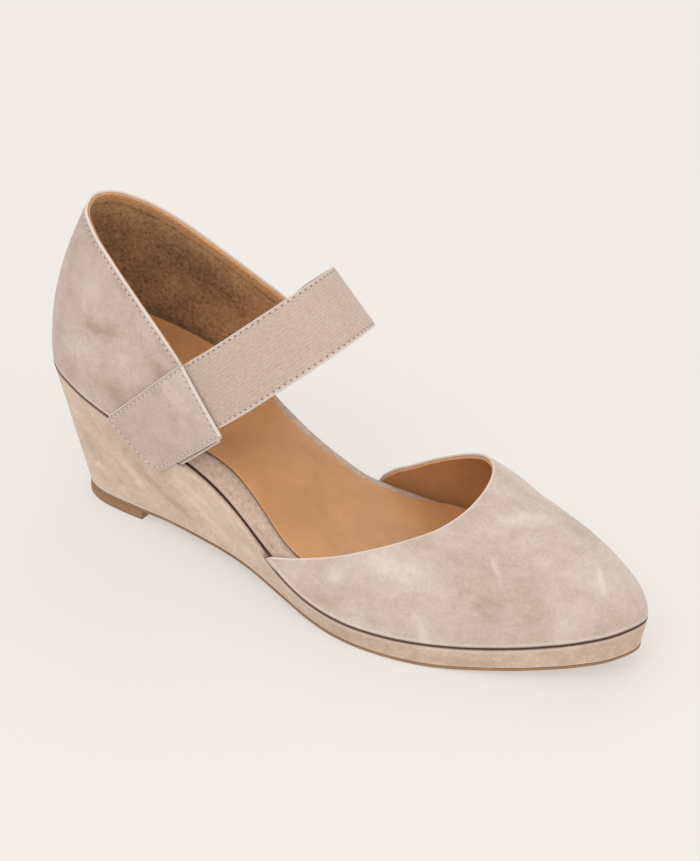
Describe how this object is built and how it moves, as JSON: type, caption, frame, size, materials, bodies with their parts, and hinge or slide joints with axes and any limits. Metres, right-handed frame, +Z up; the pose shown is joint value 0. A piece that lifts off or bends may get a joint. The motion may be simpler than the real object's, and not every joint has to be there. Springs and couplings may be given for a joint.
{
  "type": "wedge shoe",
  "caption": "Right-foot suede wedge shoe with a closed rounded toe, open sides, a closed heel and an elastic instep strap held by a tab.",
  "frame": {"origin": "middle of the shoe's bounding box, on the floor it stands on", "axes": "+X from heel to toe, +Y to the inner (medial) side of the foot, +Z up"},
  "size_m": [0.2456, 0.084, 0.1204],
  "materials": {
    "suede_taupe": "napped suede",
    "suede_mauve": "napped suede",
    "elastic_rose": "ribbed elastic webbing",
    "leather_tan": "smooth satin",
    "rubber_brown": "satin"
  },
  "bodies": {
    "root": {"outsole": "rubber_brown", "heel_lift": "rubber_brown", "wedge": "suede_taupe", "footbed": "suede_mauve", "sock": "leather_tan", "vamp": "suede_taupe", "quarter": "suede_taupe", "strap": "elastic_rose", "strap_tab": "suede_taupe"}
  },
  "joints": []
}
